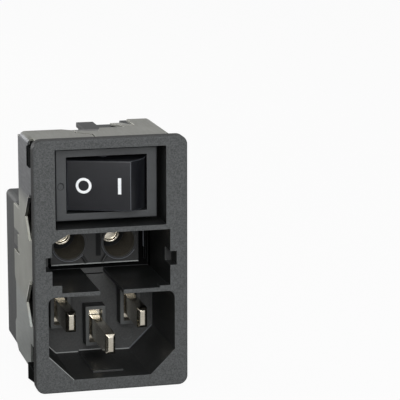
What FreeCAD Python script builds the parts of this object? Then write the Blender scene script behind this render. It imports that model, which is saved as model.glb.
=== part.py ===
# Power entry module: mains inlet, twin fuse drawer bay, rocker switch and filter in a snap-in housing.
# X runs to the right seen from the front, Y to the rear and Z up, in millimetres.
# The origin is the centre of the flange's rear face, where it seats on the panel.
import math
import os
import re

import FreeCAD
import Part
import Sketcher

doc = FreeCAD.newDocument("power_entry_module")
sheet = doc.addObject("Spreadsheet::Sheet", "dims")

# Each size has one value here; depths run from the panel to the rear, heights from the origin up.
SIZES = {
    # flange
    "flangeWide": 29.6,
    "flangeTall": 48.8,
    "flangeThick": 2.5,
    "flangeCorner": 1.8,
    "flangeEdge": 0.35,
    # housing behind the flange
    "sheetThick": 0.5,
    "coreWide": 27.0,
    "coreTop": 22.7,
    "coreBottom": 22.7,
    "coreCut": 0.45,
    "coreLean": 2.1,
    "coreDeep": 18.0,
    "wall": 0.8,
    # inlet cavity
    "inletWide": 24.5,
    "inletTop": 5.65,
    "inletTall": 16.3,
    "inletCut": 4.75,
    "inletRound": 1.3,
    "inletFloor": 16.7,
    "inletSlotWide": 4.55,
    "padWide": 5.9,
    "padHigh": 0.3,
    "padFront": 1.6,
    "markRadius": 1.35,
    "markSide": 6.9,
    "markDrop": 18.7,
    "markDeep": 0.15,
    # contact pins
    "pinThick": 2.0,
    "pinTall": 4.0,
    "pinPitch": 14.0,
    "livePinDrop": 11.95,
    "earthPinDrop": 15.9,
    "livePinFront": 2.2,
    "earthPinFront": -1.0,
    "pinChamfer": 0.55,
    "shoulderThick": 0.8,
    "tailWide": 2.4,
    "tailThick": 0.8,
    "tailProud": 0.3,
    # bosses round the pins
    "bossWide": 4.0,
    "bossTall": 8.0,
    "bossProud": 3.4,
    "bossWall": 0.7,
    "pocketFloor": 1.1,
    # fuse bay
    "fuseWide": 22.8,
    "fuseTop": 6.4,
    "fuseBottom": 4.88,
    "fuseCutWide": 3.15,
    "fuseCutTall": 1.7,
    "fuseStepWide": 1.85,
    "fuseStepTall": 1.5,
    "fuseNickWide": 2.1,
    "fuseNickTall": 0.35,
    "earWide": 25.3,
    "earLow": 0.6,
    "earHigh": 2.1,
    "earDeep": 4.5,
    "borePitch": 10.0,
    "boreHigh": 0.75,
    "boreRadius": 3.1,
    "boreFace": 14.5,
    "boreEnd": 24.0,
    "collarWall": 0.45,
    "collarProud": 0.5,
    "faceLow": 3.1,
    "faceRight": 9.0,
    "fuseBlockSide": 1.4,
    "fuseBlockLow": 3.4,
    "fuseBlockHigh": 5.0,
    "cupRadius": 2.0,
    "cupWall": 0.35,
    "cupLong": 1.2,
    "cupBase": 0.7,
    "leafWide": 2.0,
    "leafThick": 0.3,
    "leafSink": 0.3,
    # switch bay and frame
    "bayWide": 21.3,
    "bayTall": 15.2,
    "switchHigh": 14.95,
    "bayLedge": 7.0,
    "bezelMargin": 0.85,
    "frameWall": 1.2,
    "bezelTall": 13.7,
    "bezelFront": 1.5,
    "bezelEdge": 0.25,
    "frameRear": 17.8,
    "windowTall": 10.86,
    "baseThick": 1.6,
    "ejectorRadius": 0.6,
    "ejectorSide": 8.85,
    "ejectorDeep": 0.2,
    "fitGap": 0.1,
    # rocker
    "hingeDeep": 5.15,
    "rockerGap": 0.35,
    "rockerFace": 5.6,
    "rockerBack": 1.6,
    "rockerTall": 9.64,
    "rockerWall": 1.2,
    "rockerSideWall": 2.75,
    "rockerTilt": 19.2,
    "rockerEdge": 0.25,
    "trunnionRadius": 1.2,
    "trunnionLong": 1.5,
    "trunnionGap": 0.08,
    "tubeRadius": 1.5,
    "tubeBack": 3.4,
    "plungerRadius": 0.9,
    "plungerGap": 0.05,
    "plungerRoot": 0.5,
    "plungerTip": 6.9,
    # contacts of the switch
    "poleRise": 3.2,
    "bladeDeep": 12.6,
    "bladeEnd": 0.8,
    "bladeTall": 2.8,
    "bladeThick": 0.4,
    "bladeTilt": 6.0,
    "bladeRoll": 0.4,
    "buttonRadius": 1.0,
    "buttonThick": 0.5,
    "buttonInset": 3.2,
    "cradleWide": 1.2,
    "cradleTall": 2.4,
    "cradleGap": 0.1,
    "cradleRear": 20.4,
    # load tabs
    "tabWide": 6.3,
    "tabThick": 0.8,
    "tabInset": 3.0,
    "tabRise": 4.3,
    "tabTip": 25.3,
    "tabTaper": 1.6,
    "tabHole": 0.85,
    "tabHoleBack": 3.4,
    "stemWide": 3.0,
    "stemFront": 14.0,
    # sheet-metal shield
    "shieldFront": 0.1,
    "shieldBend": 1.0,
    "shieldUpperRear": 18.85,
    "shieldLowerRear": 25.2,
    "shieldTopRear": 16.45,
    "shieldStep": 7.3,
    "tongueSide": 9.1,
    "strapRear": 28.0,
    "strapLow": 1.45,
    "strapHigh": 1.8,
    "strapSink": 0.5,
    "strapRoot": 21.0,
    "strapGap": 0.1,
    "slitRoot": 19.4,
    "slitWide": 0.6,
    "notchDeep": 1.4,
    "notchTop": 8.6,
    "notchLow": 15.8,
    "seamGap": 0.3,
    "seamSide": 0.9,
    "seamRight": 1.8,
    "seamStep": 2.7,
    "seamFlare": 2.2,
    "seamJog": 9.6,
    "seamEnd": 14.6,
    "seamCurl": 1.3,
    "hookRear": 7.8,
    "hookFront": 1.7,
    "hookWindowLow": 18.3,
    "footWindowTop": 16.95,
    "hookWide": 4.4,
    "hookProud": 1.15,
    "hookLead": 1.6,
    "hookTall": 3.75,
    "hookDrop": 0.45,
    "footHigh": 20.7,
    "footInset": 0.4,
    "footWide": 1.8,
    "footRise": 1.2,
    "footGap": 0.3,
    "springTip": 9.7,
    "springShoulder": 3.4,
    "springEnd": 1.0,
    "springVee": 2.7,
    "springTall": 8.6,
    "springRoot": 1.0,
    "springGap": 0.35,
    "springFlare": 11.0,
    "springCrease": 10.0,
    "upperSpring": 9.0,
    "lowerSpring": 7.75,
    "fingerSide": 7.9,
    "fingerWide": 2.6,
    "fingerTip": 24.2,
    "fingerLean": 1.6,
    # filter case
    "caseWide": 26.6,
    "caseTop": 7.5,
    "caseRear": 39.46,
    "caseWall": 1.2,
    "caseRound": 1.0,
    "channelWide": 7.2,
    "channelTall": 3.2,
    "channelFront": 27.0,
    "channelRound": 1.0,
    "columnRound": 0.5,
    "columnSide": 0.0,
    "columnRear": 29.5,
    "columnTop": 21.2,
    "windowRear": 25.5,
    "windowLow": 8.9,
    "windowTop": 20.3,
    "lidThick": 1.0,
    "lidProud": 0.3,
    "lidFront": 18.2,
    "lidSkirt": 2.4,
    "lidSkirtThick": 0.45,
    "lidSkirtFront": 25.7,
    "lidNotchLeft": 3.2,
    "lidNotchWide": 5.4,
    "lidNotchDeep": 3.6,
    # parts on the filter board
    "boardFront": 25.6,
    "boardThick": 1.2,
    "boardGap": 0.4,
    "boardLow": 18.0,
    "chokeRadius": 5.4,
    "chokeTube": 2.3,
    "chokeSide": -3.4,
    "chokeDrop": 9.2,
    "windingThick": 0.7,
    "windingGap": 0.05,
    "windingAngle": 130.0,
    "filmWide": 13.0,
    "filmTall": 5.4,
    "filmDeep": 9.0,
    "filmLow": 0.2,
    "filmEdge": 0.5,
    "discRadius": 3.0,
    "discThick": 3.0,
    "discSide": 8.4,
    "discUpper": 5.6,
    "discLower": 12.6,
    "resistorRadius": 1.1,
    "resistorLong": 6.0,
    "resistorSide": 9.6,
    "resistorRise": 2.8,
    # earth tab and label
    "earthTabFront": 25.0,
    "earthTabRear": 37.6,
    "earthTabDrop": 21.0,
    "labelLeft": -8.1,
    "labelWide": 20.4,
    "labelTop": 5.6,
    "labelTall": 22.6,
    "labelThick": 0.12,
    "labelRound": 1.2,
}

# Half the sheet's turn at a 45 degree bend, as a share of its thickness.
LEAN_LONG = "sqrt(coreCut * coreCut + coreLean * coreLean)"
# How far a cut runs past the surface that it opens.
OVERCUT = "0.2"
# Lengths closer than this count as the same.
NEAR = 1e-4
# Name, middle from side to side, drop below the origin and top of the boss.
PIN_PLACES = [
    ("Line", "-pinPitch / 2", "livePinDrop", "-inletTop"),
    ("Neutral", "pinPitch / 2", "livePinDrop", "-inletTop"),
    ("Earth", "0", "earthPinDrop", "-earthPinDrop + bossTall / 2"),
]
# The switch's upper and lower pole, with the way each lies from its middle.
POLES = [("Line", "+"), ("Neutral", "-")]
SPRING_HEIGHTS = [("Upper", "upperSpring"), ("Lower", "-lowerSpring")]
# Widths of the switch, which follow from its bay: half the bezel, half the well, the rocker's radius,
# and the middles of the load tabs and the blades' buttons.
BEZEL_SIDE = "(bayWide / 2 - bezelMargin)"
WELL_SIDE = "(bayWide / 2 - bezelMargin - frameWall)"
ROCKER_RADIUS = "(bayWide / 2 - bezelMargin - frameWall - rockerGap)"
TAB_SIDE = "(bayWide / 2 - bezelMargin - frameWall - tabInset)"
BUTTON_SIDE = "(bayWide / 2 - bezelMargin - frameWall - buttonInset)"
# Depth that every solder tail reaches behind the filter board.
BOARD_REAR = "(boardFront + boardThick + tailProud)"

for row, (name, value) in enumerate(SIZES.items(), start=1):
    sheet.set("A%d" % row, name)
    sheet.set("B%d" % row, str(value))
    sheet.setAlias("B%d" % row, name)
doc.recompute()

# Local axes of each origin plane, and whether its normal runs against the global axis.
PLANE_ROLES = {"XY": "XY_Plane", "XZ": "XZ_Plane", "YZ": "YZ_Plane"}
NORMAL_FLIPPED = {"XY": False, "XZ": True, "YZ": False}


# Turn plain size names in a formula into references to the sheet.
def cells(text):
    return re.sub(r"[A-Za-z]\w*\b(?!\()", lambda word: "dims." + word.group(0), text)


def new_body(label):
    body = doc.addObject("PartDesign::Body", label)
    body.Label = label
    return body


def new_sketch(body, name, plane, start):
    sketch = body.newObject("Sketcher::SketchObject", name + "Sketch")
    role = PLANE_ROLES[plane]
    origin_plane = [item for item in body.Origin.OriginFeatures if item.Role == role][0]
    sketch.AttachmentSupport = (origin_plane, [""])
    sketch.MapMode = "FlatFace"
    sign = "-" if NORMAL_FLIPPED[plane] else ""
    sketch.setExpression("AttachmentOffset.Base.z", sign + "(" + cells(start) + ")")
    return sketch


# Closed straight-sided outline; each corner is a pair of formulas.
def draw_outline(sketch, corners):
    count = len(corners)
    rough = [FreeCAD.Vector(k, k * k, 0) for k in range(count)]
    for k in range(count):
        sketch.addGeometry(Part.LineSegment(rough[k], rough[(k + 1) % count]), False)
    for k in range(count):
        sketch.addConstraint(Sketcher.Constraint("Coincident", k, 2, (k + 1) % count, 1))
    for k, (across, along) in enumerate(corners):
        for kind, formula in (("DistanceX", across), ("DistanceY", along)):
            row = sketch.addConstraint(Sketcher.Constraint(kind, -1, 1, k, 1, 1.0))
            sketch.setExpression("Constraints[%d]" % row, cells(formula))


def draw_circle(sketch, across, along, radius):
    circle = sketch.addGeometry(Part.Circle(FreeCAD.Vector(1, 1, 0), FreeCAD.Vector(0, 0, 1), 1), False)
    for kind, formula in (("DistanceX", across), ("DistanceY", along)):
        row = sketch.addConstraint(Sketcher.Constraint(kind, -1, 1, circle, 3, 1.0))
        sketch.setExpression("Constraints[%d]" % row, cells(formula))
    row = sketch.addConstraint(Sketcher.Constraint("Radius", circle, 1.0))
    sketch.setExpression("Constraints[%d]" % row, cells(radius))


# Pad or pocket the sketch from start to stop along the plane's global axis.
def extrude(body, name, sketch, plane, start, stop, cut):
    feature = body.newObject("PartDesign::Pocket" if cut else "PartDesign::Pad", name)
    feature.Profile = sketch
    feature.setExpression("Length", "(" + cells(stop) + ") - (" + cells(start) + ")")
    feature.Reversed = cut != NORMAL_FLIPPED[plane]
    return feature


def prism(body, name, plane, corners, start, stop, cut=False):
    sketch = new_sketch(body, name, plane, start)
    draw_outline(sketch, corners)
    return extrude(body, name, sketch, plane, start, stop, cut)


def disc(body, name, plane, centre, radius, start, stop, cut=False):
    sketch = new_sketch(body, name, plane, start)
    draw_circle(sketch, centre[0], centre[1], radius)
    return extrude(body, name, sketch, plane, start, stop, cut)


def box_outline(low_a, high_a, low_b, high_b):
    return [(low_a, low_b), (high_a, low_b), (high_a, high_b), (low_a, high_b)]


def block(body, name, x_low, x_high, y_low, y_high, z_low, z_high, cut=False):
    return prism(body, name, "XZ", box_outline(x_low, x_high, z_low, z_high), y_low, y_high, cut)


# Fillet or chamfer the edges that wanted(edge, bounds) picks.
def dress(body, name, kind, size, wanted):
    doc.recompute()
    base = body.Tip
    bounds = base.Shape.BoundBox
    picked = []
    for number, edge in enumerate(base.Shape.Edges, start=1):
        if wanted(edge, bounds):
            picked.append("Edge%d" % number)
    feature = body.newObject("PartDesign::" + kind, name)
    feature.Base = (base, picked)
    feature.setExpression("Radius" if kind == "Fillet" else "Size", cells(size))
    return feature


def same(first, second):
    return abs(first - second) < NEAR


# True where the edge is a straight line along x, y or z.
def runs_along(edge, axis):
    sides = {"x": edge.BoundBox.XLength, "y": edge.BoundBox.YLength, "z": edge.BoundBox.ZLength}
    return all(sides[other] < NEAR for other in sides if other != axis)


def lies_at(edge, axis, place):
    low, high = {
        "x": (edge.BoundBox.XMin, edge.BoundBox.XMax),
        "y": (edge.BoundBox.YMin, edge.BoundBox.YMax),
        "z": (edge.BoundBox.ZMin, edge.BoundBox.ZMax),
    }[axis]
    return same(low, place) and same(high, place)


def size_of(name):
    return float(getattr(sheet, name))


def core_outline():
    side = "coreWide / 2"
    low = "-coreBottom"
    return [
        (side, "coreTop"),
        ("-" + side, "coreTop"),
        ("-" + side, low + " + coreLean"),
        ("-" + side + " + coreCut", low),
        (side + " - coreCut", low),
        (side, low + " + coreLean"),
    ]


def sheet_outline():
    side = "(coreWide / 2 + sheetThick)"
    low = "-(coreBottom + sheetThick)"
    rise = "(coreLean + sheetThick - sheetThick * coreCut / (" + LEAN_LONG + " + coreLean))"
    turn = "(coreCut + sheetThick - sheetThick * coreLean / (" + LEAN_LONG + " + coreCut))"
    return [
        (side, "coreTop + sheetThick"),
        ("-" + side, "coreTop + sheetThick"),
        ("-" + side, low + " + " + rise),
        ("-" + side + " + " + turn, low),
        (side + " - " + turn, low),
        (side, low + " + " + rise),
    ]


def make_front_housing():
    body = new_body("front_housing")
    half = "flangeWide / 2"
    block(body, "Flange", "-" + half, half, "-flangeThick", "0", "-flangeTall / 2", "flangeTall / 2")
    dress(body, "FlangeCorners", "Fillet", "flangeCorner", lambda edge, bounds: runs_along(edge, "y"))
    dress(body, "FlangeEdge", "Fillet", "flangeEdge", lambda edge, bounds: lies_at(edge, "y", bounds.YMin))
    prism(body, "Core", "XZ", core_outline(), "0", "coreDeep")
    block_side = "(borePitch / 2 + boreRadius + fuseBlockSide)"
    block(body, "FuseBlock", "-" + block_side, block_side, "coreDeep", "boreEnd + wall",
          "-fuseBlockLow", "fuseBlockHigh")
    cut_switch_bay(body)
    cut_fuse_bay(body)
    cut_inlet(body)
    add_snap_corners(body)
    return body


def cut_switch_bay(body):
    block(body, "BayMouth", "-bayWide / 2", "bayWide / 2", "-flangeThick", "bayLedge",
          "switchHigh - bayTall / 2", "switchHigh + bayTall / 2", cut=True)
    block(body, "BayOpenTop", "-bayWide / 2", "bayWide / 2", "0", "bayLedge",
          "switchHigh", "coreTop + " + OVERCUT, cut=True)
    side = "(" + BEZEL_SIDE + " + fitGap)"
    rise = "(bezelTall / 2 + fitGap)"
    block(body, "BaySocket", "-" + side, side, "bayLedge", "coreDeep",
          "switchHigh - " + rise, "switchHigh + " + rise, cut=True)


def cut_fuse_bay(body):
    left = "-fuseWide / 2"
    right = "fuseWide / 2"
    low = "-fuseBottom"
    mouth = [
        (left, low + " + fuseStepTall"),
        (left + " + fuseStepWide", low + " + fuseStepTall"),
        (left + " + fuseStepWide", low),
        (right + " - fuseNickWide", low),
        (right + " - fuseNickWide", low + " + fuseNickTall"),
        (right, low + " + fuseNickTall"),
        (right, "fuseTop"),
        (left + " + fuseCutWide", "fuseTop"),
        (left, "fuseTop - fuseCutTall"),
    ]
    prism(body, "FuseMouth", "XZ", mouth, "-flangeThick", "0", cut=True)
    block(body, "FuseEars", "-earWide / 2", "earWide / 2", "-flangeThick", "earDeep - flangeThick",
          "-earLow", "earHigh", cut=True)
    block(body, "FuseBay", left, right, "0", "boreFace", low, "fuseTop", cut=True)
    block(body, "LatchGap", left, right, "boreFace", "inletFloor", low, "-faceLow", cut=True)
    block(body, "SideGap", "faceRight", right, "boreFace", "inletFloor", low, "fuseTop", cut=True)
    for side, sign in (("Left", "-"), ("Right", "")):
        centre = (sign + "borePitch / 2", "boreHigh")
        disc(body, side + "Collar", "XZ", centre, "boreRadius + collarWall",
             "boreFace - collarProud", "boreFace")
    for side, sign in (("Left", "-"), ("Right", "")):
        middle = sign + "borePitch / 2"
        disc(body, side + "Bore", "XZ", (middle, "boreHigh"), "boreRadius",
             "boreFace - collarProud", "boreEnd", cut=True)
        block(body, side + "LeafGroove", middle + " - leafWide / 2", middle + " + leafWide / 2",
              "boreFace - collarProud", "boreEnd + wall",
              "boreHigh + boreRadius - leafSink", "boreHigh + boreRadius + leafThick", cut=True)
        block(body, side + "CupSlot", middle + " - tailThick / 2", middle + " + tailThick / 2",
              "boreEnd", "boreEnd + wall", "boreHigh - tailWide / 2", "boreHigh + tailWide / 2", cut=True)


def cut_inlet(body):
    side = "inletWide / 2"
    low = "-(inletTop + inletTall)"
    turn = "(inletTop + inletRound)"
    cavity = [
        (side + " - inletRound", "-inletTop"),
        ("-" + side + " + inletRound", "-inletTop"),
        ("-" + side + " + inletRound", "-" + turn),
        ("-" + side, "-" + turn),
        ("-" + side, low + " + inletCut"),
        ("-" + side + " + inletCut", low),
        (side + " - inletCut", low),
        (side, low + " + inletCut"),
        (side, "-" + turn),
        (side + " - inletRound", "-" + turn),
    ]
    prism(body, "Inlet", "XZ", cavity, "-flangeThick", "inletFloor", cut=True)
    for corner, sign in (("Left", "-"), ("Right", "")):
        centre = (sign + "(" + side + " - inletRound)", "-" + turn)
        disc(body, corner + "Round", "XZ", centre, "inletRound", "-flangeThick", "inletFloor", cut=True)
    block(body, "RoofSlot", "-inletSlotWide / 2", "inletSlotWide / 2", "-flangeThick", "inletFloor",
          "-inletTop", "-fuseBottom", cut=True)
    block(body, "KeyPad", "-padWide / 2", "padWide / 2", "padFront", "inletFloor", low, low + " + padHigh")
    disc(body, "MouldMark", "XZ", ("markSide", "-markDrop"), "markRadius",
         "inletFloor", "inletFloor + markDeep", cut=True)
    for pin, middle, drop, top in PIN_PLACES:
        block(body, pin + "Boss", middle + " - bossWide / 2", middle + " + bossWide / 2",
              "inletFloor - bossProud", "inletFloor", "-(" + drop + " + bossTall / 2)", top)
    for pin, middle, drop, top in PIN_PLACES:
        reach_side = "(bossWide / 2 - bossWall)"
        reach_up = "(bossTall / 2 - bossWall)"
        block(body, pin + "Pocket", middle + " - " + reach_side, middle + " + " + reach_side,
              "inletFloor - bossProud", "inletFloor - pocketFloor",
              "-" + drop + " - " + reach_up, "-" + drop + " + " + reach_up, cut=True)
        block(body, pin + "TailSlot", middle + " - tailThick / 2", middle + " + tailThick / 2",
              "inletFloor - pocketFloor", "coreDeep",
              "-" + drop + " - tailWide / 2", "-" + drop + " + tailWide / 2", cut=True)


def add_snap_corners(body):
    front = "((hookFront + hookRear) / 2 - hookWide / 2)"
    rear = "((hookFront + hookRear) / 2 + hookWide / 2)"
    for side, sign in (("Left", "-"), ("Right", "")):
        hook = [
            (sign + "(coreWide / 2)", front),
            (sign + "(coreWide / 2 + hookProud)", front),
            (sign + "(coreWide / 2 + hookProud)", rear + " - hookLead"),
            (sign + "(coreWide / 2 + sheetThick / 2)", rear),
            (sign + "(coreWide / 2)", rear),
        ]
        prism(body, side + "Hook", "XY", hook, "coreTop - hookDrop - hookTall", "coreTop - hookDrop")
        foot = [
            (sign + "(coreWide / 2 - footWide)", "0"),
            (sign + "(coreWide / 2 + hookProud)", "0"),
            (sign + "(coreWide / 2 + hookProud)", "hookRear - footGap"),
            (sign + "(coreWide / 2 - footWide)", "hookRear - footGap"),
        ]
        prism(body, side + "Foot", "XY", foot, "-(flangeTall / 2 - footInset)", "-footHigh")
    rising = [
        ("0", "-(flangeTall / 2 - footInset - footRise)"),
        ("hookRear", "-(flangeTall / 2 - footInset)"),
        ("hookRear", "-(flangeTall / 2)"),
        ("0", "-(flangeTall / 2)"),
    ]
    prism(body, "FootRise", "YZ", rising, "-flangeWide / 2", "flangeWide / 2", cut=True)


def make_pin(label, middle, drop, front):
    body = new_body(label)
    block(body, "Blade", middle + " - pinThick / 2", middle + " + pinThick / 2",
          front, "inletFloor - pocketFloor", "-" + drop + " - pinTall / 2", "-" + drop + " + pinTall / 2")
    dress(body, "Lead", "Chamfer", "pinChamfer", lambda edge, bounds: lies_at(edge, "y", bounds.YMin))
    side = "(bossWide / 2 - bossWall)"
    rise = "(bossTall / 2 - bossWall)"
    block(body, "Shoulder", middle + " - " + side, middle + " + " + side,
          "inletFloor - pocketFloor - shoulderThick", "inletFloor - pocketFloor",
          "-" + drop + " - " + rise, "-" + drop + " + " + rise)
    block(body, "Tail", middle + " - tailThick / 2", middle + " + tailThick / 2",
          "inletFloor - pocketFloor", "boardFront + boardThick + tailProud",
          "-" + drop + " - tailWide / 2", "-" + drop + " + tailWide / 2")
    return body


def make_fuse_cup(label, middle):
    body = new_body(label)
    centre = (middle, "boreHigh")
    disc(body, "Cup", "XZ", centre, "cupRadius", "boreEnd - cupLong", "boreEnd")
    disc(body, "CupBore", "XZ", centre, "cupRadius - cupWall", "boreEnd - cupLong",
         "boreEnd - cupWall", cut=True)
    block(body, "CupSlits", middle + " - cupRadius", middle + " + cupRadius",
          "boreEnd - cupLong", "boreEnd - cupBase",
          "boreHigh - cupWall", "boreHigh + cupWall", cut=True)
    block(body, "CupTail", middle + " - tailThick / 2", middle + " + tailThick / 2",
          "boreEnd", "boardFront + boardThick + tailProud",
          "boreHigh - tailWide / 2", "boreHigh + tailWide / 2")
    return body


def make_fuse_leaf(label, middle):
    body = new_body(label)
    block(body, "Leaf", middle + " - leafWide / 2", middle + " + leafWide / 2",
          "boreFace + leafThick", "boardFront + boardThick + tailProud",
          "boreHigh + boreRadius", "boreHigh + boreRadius + leafThick")
    return body


def make_switch_frame():
    body = new_body("switch_frame")
    block(body, "Bezel", "-" + BEZEL_SIDE, BEZEL_SIDE, "bezelFront", "frameRear",
          "switchHigh - bezelTall / 2", "switchHigh + bezelTall / 2")
    dress(body, "BezelEdge", "Fillet", "bezelEdge", lambda edge, bounds: lies_at(edge, "y", bounds.YMin))
    low = "switchHigh - windowTall / 2"
    high = "switchHigh + windowTall / 2"
    disc(body, "RockerWell", "XY", ("0", "hingeDeep"), WELL_SIDE, low, high, cut=True)
    block(body, "ContactWell", "-" + WELL_SIDE, WELL_SIDE, "hingeDeep", "frameRear", low, high, cut=True)
    depth = "(rockerTall / 2 + trunnionLong + trunnionGap)"
    disc(body, "HingeHoles", "XY", ("0", "hingeDeep"), "trunnionRadius + trunnionGap",
         "switchHigh - " + depth, "switchHigh + " + depth, cut=True)
    disc(body, "EjectorMark", "XZ", ("-ejectorSide", "switchHigh"), "ejectorRadius",
         "bezelFront", "bezelFront + ejectorDeep", cut=True)
    return body


def make_switch_base():
    body = new_body("switch_base")
    front = "frameRear - baseThick"
    block(body, "Base", "-" + WELL_SIDE, WELL_SIDE, front, "frameRear",
          "switchHigh - windowTall / 2", "switchHigh + windowTall / 2")
    for pole, sign in POLES:
        block(body, pole + "CradleSlot", "-cradleWide / 2", "cradleWide / 2", front, "frameRear",
              pole_height(sign, "poleRise") + " - cradleTall / 2",
              pole_height(sign, "poleRise") + " + cradleTall / 2", cut=True)
        block(body, pole + "StemSlot",
              "-" + TAB_SIDE + " - stemWide / 2", "-" + TAB_SIDE + " + stemWide / 2",
              front, "frameRear", pole_height(sign, "tabRise") + " - tabThick / 2",
              pole_height(sign, "tabRise") + " + tabThick / 2", cut=True)
    return body


def pole_height(sign, rise):
    return "switchHigh " + sign + " " + rise


# Turn a piece drawn about its own pivot to its rest angle and set it on that pivot.
def hang_on_hinge(piece, angle, height="switchHigh", depth="hingeDeep"):
    piece.Placement = FreeCAD.Placement(FreeCAD.Vector(), FreeCAD.Rotation(FreeCAD.Vector(0, 0, 1), 1))
    piece.setExpression("Placement.Rotation.Angle", cells(angle))
    piece.setExpression("Placement.Base.y", cells(depth))
    piece.setExpression("Placement.Base.z", cells(height))


def make_rocker():
    body = new_body("rocker")
    low = "-rockerTall / 2"
    high = "rockerTall / 2"
    beyond = "(" + ROCKER_RADIUS + " + " + OVERCUT + ")"
    disc(body, "Drum", "XY", ("0", "0"), ROCKER_RADIUS, low, high)
    block(body, "FaceCut", "-" + beyond, beyond, "-" + beyond, "-rockerFace", low, high, cut=True)
    block(body, "BackCut", "-" + beyond, beyond, "rockerBack", beyond, low, high, cut=True)
    front = -size_of("rockerFace")
    dress(body, "FaceEdge", "Fillet", "rockerEdge", lambda edge, bounds: lies_at(edge, "y", front))
    rise = "(rockerTall / 2 - rockerWall)"
    hollow = "(" + ROCKER_RADIUS + " - rockerSideWall)"
    block(body, "Hollow", "-" + hollow, hollow, "-(rockerFace - rockerWall)",
          "rockerBack", "-" + rise, rise, cut=True)
    reach = "(rockerTall / 2 + trunnionLong)"
    disc(body, "Trunnions", "XY", ("0", "0"), "trunnionRadius", "-" + reach, reach)
    disc(body, "TrunnionGap", "XY", ("0", "0"), "trunnionRadius", "-" + rise, rise, cut=True)
    for pole, sign in POLES:
        disc(body, pole + "Tube", "XZ", ("0", sign + "poleRise"), "tubeRadius",
             "-(rockerFace - rockerWall)", "tubeBack")
    for pole, sign in POLES:
        disc(body, pole + "TubeBore", "XZ", ("0", sign + "poleRise"), "plungerRadius + plungerGap",
             "-plungerRoot", "tubeBack", cut=True)
    hang_on_hinge(body, "-rockerTilt")
    return body


def make_plunger(label, sign):
    shaft = doc.addObject("Part::Cylinder", label + "_shaft")
    shaft.setExpression("Radius", cells("plungerRadius"))
    shaft.setExpression("Height", cells("plungerRoot + plungerTip - plungerRadius"))
    tip = doc.addObject("Part::Sphere", label + "_tip")
    tip.setExpression("Radius", cells("plungerRadius"))
    tip.setExpression("Placement.Base.y", cells("plungerTip - plungerRadius"))
    shaft.Placement = FreeCAD.Placement(FreeCAD.Vector(), FreeCAD.Rotation(FreeCAD.Vector(1, 0, 0), -90))
    shaft.setExpression("Placement.Base.y", cells("-plungerRoot"))
    plunger = doc.addObject("Part::Fuse", label)
    plunger.Label = label
    plunger.Base = shaft
    plunger.Tool = tip
    hang_on_hinge(plunger, "-rockerTilt", pole_height(sign, "poleRise"))
    return plunger


def make_blade(label, sign):
    body = new_body(label)
    half = "(" + BUTTON_SIDE + " + bladeEnd)"
    block(body, "Strip", "-" + half, half, "-bladeThick / 2", "bladeThick / 2",
          "-bladeTall / 2", "bladeTall / 2")
    disc(body, "Roll", "XY", ("0", "0"), "bladeRoll", "-bladeTall / 2", "bladeTall / 2")
    disc(body, "Button", "XZ", ("-" + BUTTON_SIDE, "0"), "buttonRadius",
         "bladeThick / 2", "bladeThick / 2 + buttonThick")
    hang_on_hinge(body, "bladeTilt", pole_height(sign, "poleRise"), "bladeDeep")
    return body


def make_cradle(label, sign):
    body = new_body(label)
    block(body, "Post", "-cradleWide / 2", "cradleWide / 2",
          "bladeDeep + bladeRoll + cradleGap", "cradleRear",
          pole_height(sign, "poleRise") + " - cradleTall / 2",
          pole_height(sign, "poleRise") + " + cradleTall / 2")
    return body


def make_load_tab(label, sign):
    body = new_body(label)
    middle = "-" + TAB_SIDE
    outline = [
        (middle + " - stemWide / 2", "stemFront"),
        (middle + " + stemWide / 2", "stemFront"),
        (middle + " + stemWide / 2", "frameRear"),
        (middle + " + tabWide / 2", "frameRear"),
        (middle + " + tabWide / 2", "tabTip - tabTaper"),
        (middle + " + tabWide / 2 - tabTaper", "tabTip"),
        (middle + " - tabWide / 2 + tabTaper", "tabTip"),
        (middle + " - tabWide / 2", "tabTip - tabTaper"),
        (middle + " - tabWide / 2", "frameRear"),
        (middle + " - stemWide / 2", "frameRear"),
    ]
    low = pole_height(sign, "tabRise") + " - tabThick / 2"
    high = pole_height(sign, "tabRise") + " + tabThick / 2"
    prism(body, "Tab", "XY", outline, low, high)
    disc(body, "TabHole", "XY", (middle, "tabTip - tabHoleBack"), "tabHole", low, high, cut=True)
    return body


def make_shield():
    body = new_body("shield")
    prism(body, "Wrap", "XZ", sheet_outline(), "shieldFront", "shieldLowerRear")
    top = size_of("coreTop") + size_of("sheetThick")
    dress(body, "TopBends", "Fillet", "shieldBend",
          lambda edge, bounds: runs_along(edge, "y") and lies_at(edge, "z", top))
    prism(body, "WrapInside", "XZ", core_outline(), "shieldFront", "shieldLowerRear", cut=True)
    cut_shield_top(body)
    for side, sign in (("Left", "-"), ("Right", "")):
        cut_shield_side(body, side, sign)
    outer = "(coreWide / 2 + sheetThick)"
    block(body, "RearStep", "-" + outer + " - " + OVERCUT, "columnSide", "shieldUpperRear",
          "shieldLowerRear + " + OVERCUT, "shieldStep", "coreTop + sheetThick", cut=True)
    for side, sign in (("Left", "-"), ("Right", "")):
        add_springs(body, side, sign)
    add_lid_finger(body)
    return body


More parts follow.
